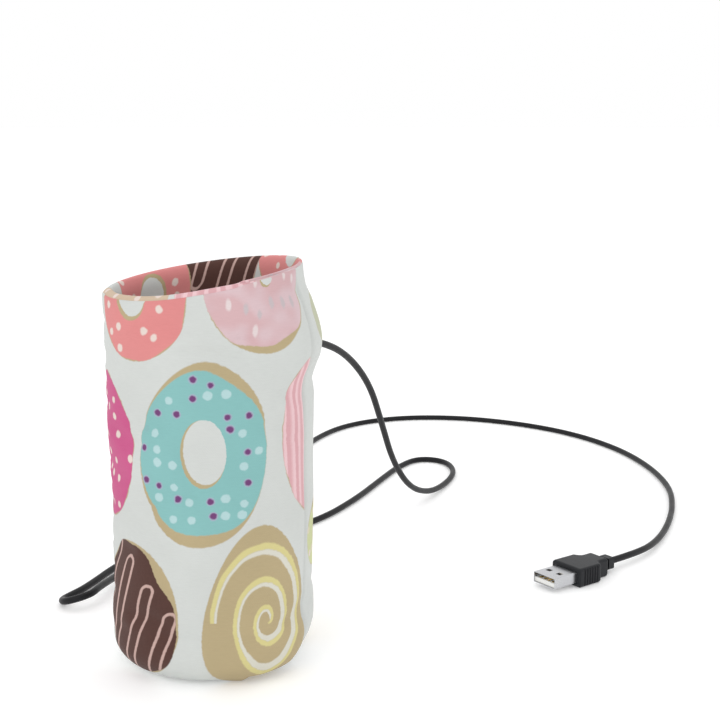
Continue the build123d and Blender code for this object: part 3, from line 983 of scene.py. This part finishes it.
def make_facing():
    """The strip that is turned over the rim and stitched down inside it."""

    def column(depth, az):
        top, radius, turn = rim_height(az), sleeve_radius(az), turn_from(az, 0)
        share = flap_share(turn) * smooth(STEP_UP + 4, STEP_UP - 1, turn % 360)
        crest = radius - CREST * (1 - 0.2 * share)
        inside = LINED - 0.1 + depth
        low = top - FACING_DEPTH
        within = oval(crest, top - depth, crest - inside, 5.5 - depth, 180, 90, 10)
        reach = radius - 0.12 - depth - crest
        beyond = oval(crest, top - depth, reach, ROLL - depth, 86, facing_start(az) - 8, 7)
        wall = np.full(7, inside), np.linspace(low, top - 5.5, 7)
        radii, heights = strung(wall, within[:, 1:], beyond)
        weight = np.clip((radii - inside) / (radius - inside), 0, 1)
        steps = np.hypot(np.diff(radii), np.diff(heights))
        along = low - np.concatenate([[0], np.cumsum(steps)])
        return radii + held_swell(az, heights, radius) * weight, heights, along

    azs = runs((-90, 18), (19, 30, 0.8), (31, 66), (67, 74, 0.8), (75.5, 268.5))
    hidden, seen = partial(column, 0.5), partial(column, 0.0)
    piece = shell("rim_facing", azs, hidden, seen, printed_inside=True, closed=True)
    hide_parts("rim_hem")
    return finish(piece, "hem_print")


def make_flap_lining():
    """The flap's own lining, which is turned over its rim as the facing is."""

    def column(depth, az):
        top, foot = rim_height(az), foot_radius(az)
        edge = edge_share(az)
        crest, roll = front_crest(az)
        inside = crest - max((FLAP_MIDDLE - FLAP_INSIDE) * edge, 0.04) + depth * edge
        radii, heights, along = wall_column(inside, foot, WALL - foot, FLAP_LOW, top - 1.6, 70)
        within = oval(crest, top - depth, crest - inside, 1.6 - depth, 180, 90, 6)
        reach = max((front_radius(az) - 0.1 - crest) * edge - depth, 0.04)
        beyond = oval(crest, top - depth, reach, roll - depth, 84, facing_start(az) - 8, 5)
        radii, heights = strung((radii, heights), within[:, 1:], beyond)
        along = np.concatenate([along, 110 + np.arange(1, 11) * 0.4])
        return radii + front_swell(az, heights), heights, along

    azs = runs((21, 28, 0.7), (29, 64), (64.5, FLAP_EDGE, 0.25))
    hidden, seen = partial(column, 0.35), partial(column, 0.0)
    piece = shell("flap_facing", azs, hidden, seen, printed_inside=True)
    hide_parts("flap_lining", "flap_hem")
    finish(piece, "hem_print", body=None)
    bend_at_hinge(piece)
    return piece


def make_wall_padding():
    """Fleecy wadding all round, with an opening for the wiring behind."""
    start, end, low, high = WINDOW

    def outside(az):
        return sleeve_radius(az) - CLOTH - 0.06

    def inside(az):
        under_flap = smooth(HINGE, HINGE + 2, az) * smooth(STEP_UP + 3, STEP_UP + 1, az)
        return PAD_INSIDE - 0.5 * under_flap

    def rim(az):
        return rim_height(az) - 3.4

    def block(name, azs, foot, top):
        def column(az, radius, base, corner, least):
            if foot:
                heights = np.linspace(foot, top(az), 60)
                return np.full(60, radius), heights, heights
            return wall_column(radius, base, corner, least, top(az), 60)

        def outer(az):
            base = foot_radius(az)
            radii, heights, along = column(az, outside(az), base, WALL - base, 0.9)
            moved = radii + held_swell(az, heights, sleeve_radius(az))
            moved[heights > 14] = np.maximum(moved[heights > 14], inside(az) + 0.3)
            return moved, heights, along

        def inner(az):
            return column(az, inside(az), FOOT, 11.5, 3.95)

        return shell(name, azs, outer, inner)

    azs = runs((end - 360, 23), (24, 28, 0.8), (29, 67), (68, 75, 0.8), (76, start))
    tall = block("wall_padding", azs, 0.0, rim)
    behind = spaced(start + 0.05, end - 0.05)
    below = block("padding_below", behind, 0.0, lambda az: low)
    above = block("padding_above", behind, high, rim)
    merge_into(tall, [below, above])
    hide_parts("wadding_wall")
    finish(tall, "wadding")
    return tall


def merge_into(target, others):
    work = bmesh.new()
    for part in [target, *others]:
        work.from_mesh(part.data)
    work.to_mesh(target.data)
    work.free()
    for part in others:
        bpy.data.objects.remove(part)


def make_flap_padding():
    def column(radius_at, az):
        foot, top = foot_radius(az), rim_height(az) - 2.2
        radii, heights, along = wall_column(radius_at(az), foot, WALL - foot, FLAP_LOW + 0.6, top, 60)
        return radii + front_swell(az, heights), heights, along

    outer = partial(column, lambda az: front_radius(az) - CLOTH - 0.04)
    inner = partial(column, lambda az: FLAP_INSIDE + 0.4 - edge_droop(az))
    piece = shell("flap_padding", spaced(26, 65), outer, inner, printed_inside=True)
    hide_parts("flap_wadding")
    finish(piece, "wadding", body=None)
    bend_at_hinge(piece)
    return piece


def make_lining():
    def column(radius, az):
        top = rim_height(az) - FACING_DEPTH + 1.0
        return wall_column(radius, FOOT, 11.5, 11.5 - (radius - FOOT) + 0.01, top, 80)

    hidden, seen = partial(column, LINED + LINING_CLOTH), partial(column, LINED)
    azs = np.arange(240) * 1.5 - 90
    piece = shell("pocket_lining", azs, hidden, seen, printed_inside=True, closed=True)
    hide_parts("lining_wall")
    return finish(piece, "lining_print")


def disc(name, radius_at, low_at, thickness, rings=14, sides=120):
    """A round pad or cloth. low_at gives the underside's height from a share of the way out."""
    azs = np.arange(sides) * 360 / sides
    shares = np.linspace(0.02, 1, rings)
    radii = radius_at(azs)[:, None] * shares[None]
    low = low_at(shares)[None] + 0 * radii
    under = placed(azs[:, None], radii, low)
    over = placed(azs[:, None], radii, low + thickness)
    uv = np.stack([under[..., 0], under[..., 1]], -1) * MM
    faces = []

    def at(i, j, side):
        return side * sides * rings + (i % sides) * rings + j

    for i in range(sides):
        for j in range(rings - 1):
            faces.append((at(i, j, 0), at(i, j + 1, 0), at(i + 1, j + 1, 0), at(i + 1, j, 0)))
            faces.append((at(i, j, 1), at(i + 1, j, 1), at(i + 1, j + 1, 1), at(i, j + 1, 1)))
        out = rings - 1
        faces.append((at(i, out, 0), at(i, out, 1), at(i + 1, out, 1), at(i + 1, out, 0)))
    faces.append(tuple(at(i, 0, 0) for i in range(sides)))
    faces.append(tuple(at(sides - 1 - i, 0, 1) for i in range(sides)))
    points = np.concatenate([under.reshape(-1, 3), over.reshape(-1, 3)])
    return mesh_object(name, points, faces, np.concatenate([uv.reshape(-1, 2)] * 2))


def make_bases():
    outside = disc(
        "base_cover", lambda az: foot_radius(az) + 0.9, lambda share: 0.55 * (1 - share**4) + 0.06, 0.6
    )
    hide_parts("base_panel")
    finish(outside, "base_cloth")
    pad = disc("base_padding", lambda az: foot_radius(az) - 0.3, lambda share: 1.3 - 0.2 * share, 2.5)
    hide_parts("wadding_base")
    finish(pad, "wadding")
    floor_cloth = disc(
        "pocket_floor", lambda az: FOOT + 0.4 + 0 * az, lambda share: 4.42 + 0.25 * (1 - share**2), 0.5
    )
    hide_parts("lining_base")
    finish(floor_cloth, "lining_print")
    return outside, floor_cloth


# ---- Hook-and-loop closure and stitches ----

TAPE = (33.0, 63.0, 22.0, 128.0)  # azimuths and heights of both patches
LOOP_RADIUS = UNDER + 0.02
HOOK_RADIUS = FLAP_INSIDE - 0.02


def patch_grid(radius, inset=0.0, step=0.8, pile=0.0, droop=0.0):
    start, end, low, high = TAPE
    azs = np.arange(start + inset, end - inset + 0.01, step * 1.5)
    heights = np.linspace(low + inset, high - inset, round((high - low) / step))
    points = []
    for az in azs:
        fluff = np.array([noise.noise(Vector((az * 1.3, height * 1.1, 4.0))) for height in heights])
        side = min(az - azs[0], azs[-1] - az)
        border = smooth(0, 1.2, side) * smooth(0, 1.0, np.minimum(heights - heights[0], heights[-1] - heights))
        fluffed = pile * border * (0.7 + 0.9 * fluff)
        radii = radius - droop * edge_droop(az) + swell(az, heights) + fluffed
        points.append(placed(az, radii, heights))
    return np.array(points)


def make_loop_patch():
    outer = patch_grid(LOOP_RADIUS + 0.3, pile=0.4)
    piece = slab("loop_patch", outer, patch_grid(LOOP_RADIUS))
    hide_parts("loop_tape")
    return finish(piece, "loop_tape")


def make_hook_patch():
    """Woven tape with rows of small hooks that reach for the loops."""
    start, end, low, high = TAPE
    backing = slab("hook_patch", patch_grid(HOOK_RADIUS, droop=1.0), patch_grid(HOOK_RADIUS - 0.3, droop=1.0))
    parts = []
    for row, height in enumerate(np.arange(low + 2.2, high - 2.2, 1.7)):
        for az in np.arange(start + 2.6 + row % 2, end - 2.6, 2.2):
            root = HOOK_RADIUS - 0.28 - edge_droop(az) + swell(az, height)
            lean = 0.28 if row % 2 else -0.28
            line = [
                placed(az, root, height),
                placed(az, root - 0.34, height + 0.02),
                placed(az, root - 0.5, height + lean * 0.5),
                placed(az, root - 0.36, height + lean),
            ]
            parts.append(tube_mesh(line, [0.13, 0.1, 0.09, 0.05], 5))
    hooks = joined("hooks", parts)
    merge_into(backing, [hooks])
    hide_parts("hook_tape")
    return finish(backing, "hook_tape", body="flap")


def stitch_line(places, outs, length=2.3, gap=1.1, radius=0.17, proud=0.1):
    """Short stitches along a line of points, standing a little out of the cloth."""
    places, outs = np.asarray(places, float), np.asarray(outs, float)
    runs = np.linalg.norm(np.diff(places, axis=0), axis=1)
    travelled = np.concatenate([[0], np.cumsum(runs)])
    parts = []
    for start in np.arange(0.4, travelled[-1] - length, length + gap):
        steps = start + length * np.array([0, 0.12, 0.5, 0.88, 1])
        line = np.stack([np.interp(steps, travelled, places[:, k]) for k in range(3)], -1)
        out = np.stack([np.interp(steps, travelled, outs[:, k]) for k in range(3)], -1)
        lift = np.array([-0.1, 0.5, 1, 0.5, -0.1])[:, None] * proud
        parts.append(tube_mesh(line + out * lift, [radius * s for s in (0.4, 0.9, 1, 0.9, 0.4)], 6))
    return parts


def upright_line(az, radius, low, high, outwards=1):
    heights = np.linspace(low, high, 90)
    places = placed(az, radius + swell(az, heights), heights)
    return places, np.repeat(placed(az, 1.0, 0.0)[None], 90, 0) * outwards


def level_line(radius, start, end, height_at, outwards=1, moved=True):
    azs = spaced(start, end, 1.0)
    heights = np.array([height_at(az) for az in azs])
    radii = radius + (np.array([swell(a, h) for a, h in zip(azs, heights)]) if moved else 0)
    return placed(azs, radii, heights), placed(azs, 1.0, 0 * azs) * outwards


def patch_border(radius, outwards):
    start, end, low, high = TAPE
    parts = []
    for az in (start + 1.7, end - 1.7):
        parts += stitch_line(*upright_line(az, radius, low + 1.2, high - 1.2, outwards))
    for height in (low + 1.1, high - 1.1):
        parts += stitch_line(*level_line(radius, start + 2, end - 2, lambda az: height, outwards))
    return parts


def make_stitches():
    facing = level_line(LINED - 0.15, -88, 270, lambda az: rim_height(az) - FACING_DEPTH + 1.7, -1, moved=False)
    on_sleeve = joined("facing_stitches", stitch_line(*facing) + patch_border(LOOP_RADIUS + 0.4, 1))
    finish(on_sleeve, "thread")
    on_flap = joined("flap_stitches", patch_border(HOOK_RADIUS - 0.3, -1))
    finish(on_flap, "thread", body="flap")


lead = make_lead()
settled = settle()
front = make_front()
back = make_back()
make_foot_band()
facing = make_facing()
flap_facing = make_flap_lining()
make_wall_padding()
make_flap_padding()
lining = make_lining()
base_cloth, floor_cloth = make_bases()
make_loop_patch()
make_hook_patch()
make_stitches()

FLOOR_SIDES, FLOOR_RADIUS = 64, 8000
turns = [2 * pi * k / FLOOR_SIDES for k in range(FLOOR_SIDES)]
floor = mesh_object(
    "floor", [(FLOOR_RADIUS * sin(t), FLOOR_RADIUS * cos(t), 0) for t in turns], [range(FLOOR_SIDES)[::-1]]
)
floor_tree, floor_shader = new_material("floor", Roughness=0.7, Emission_Strength=0.2)
floor_shader.inputs["Emission Color"].default_value = (1, 1, 1, 1)
dust = cloud(floor_tree, object_place(floor_tree), 3.0) * 0.02 + 0.98
tone(floor_tree, floor_shader, (0.88, 0.88, 0.88), dust)
floor.data.materials.append(MATERIALS["floor"])

slots = {part["node"]: part["material_slot"] for part in frame["record"]["subparts"]}
for node_name, node in frame["nodes"].items():
    if not node.hide_render:
        for entry in node.material_slots:
            entry.material = MATERIALS[slots[node_name]]
